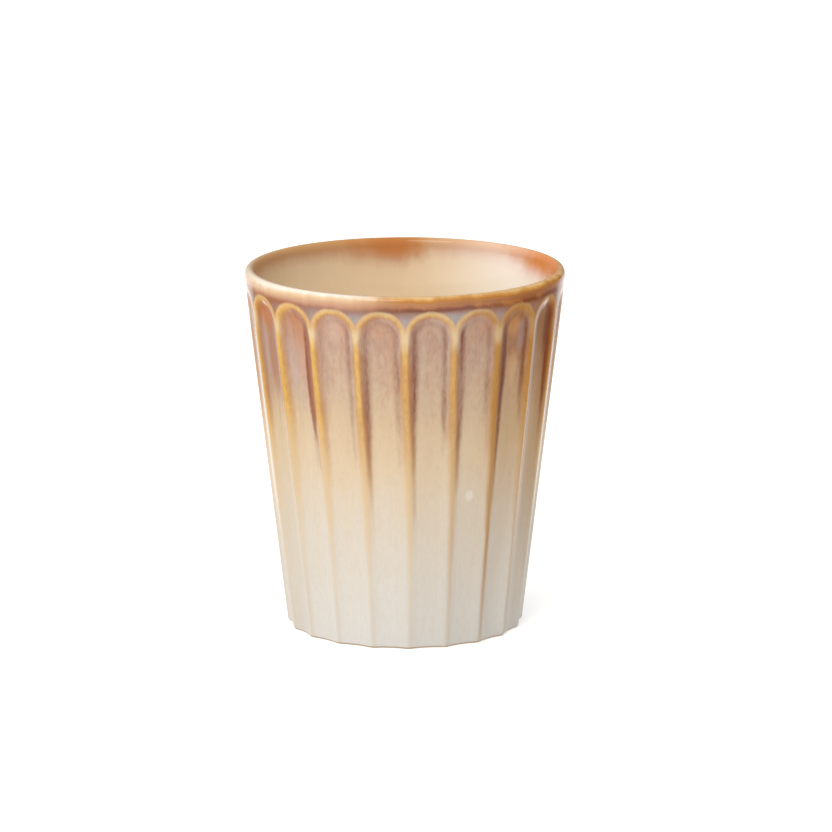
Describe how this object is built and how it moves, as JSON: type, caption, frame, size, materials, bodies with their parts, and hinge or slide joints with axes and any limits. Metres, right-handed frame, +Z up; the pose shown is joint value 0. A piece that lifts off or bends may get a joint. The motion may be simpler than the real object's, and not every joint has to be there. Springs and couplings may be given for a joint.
{
  "type": "latte cup",
  "caption": "Handleless latte cup: a tapered stoneware tumbler with arch-topped flutes, a rounded lip, a reactive glaze outside, a glazed bowl and a bare foot ring.",
  "frame": {"origin": "centre of the foot ring, on the surface that the cup stands on", "axes": "+Z up along the cup's axis; a ridge between two flutes faces -Y"},
  "size_m": [0.085, 0.085, 0.0965],
  "materials": {
    "bare_stoneware": "matte",
    "reactive_glaze": "gloss",
    "amber_glaze": "gloss",
    "cream_glaze": "gloss",
    "foot_glaze": "gloss"
  },
  "bodies": {
    "root": {"stoneware_body": "bare_stoneware", "outer_glaze": "reactive_glaze", "rim_glaze": "amber_glaze", "liner_glaze": "cream_glaze", "base_glaze": "foot_glaze"}
  },
  "joints": []
}
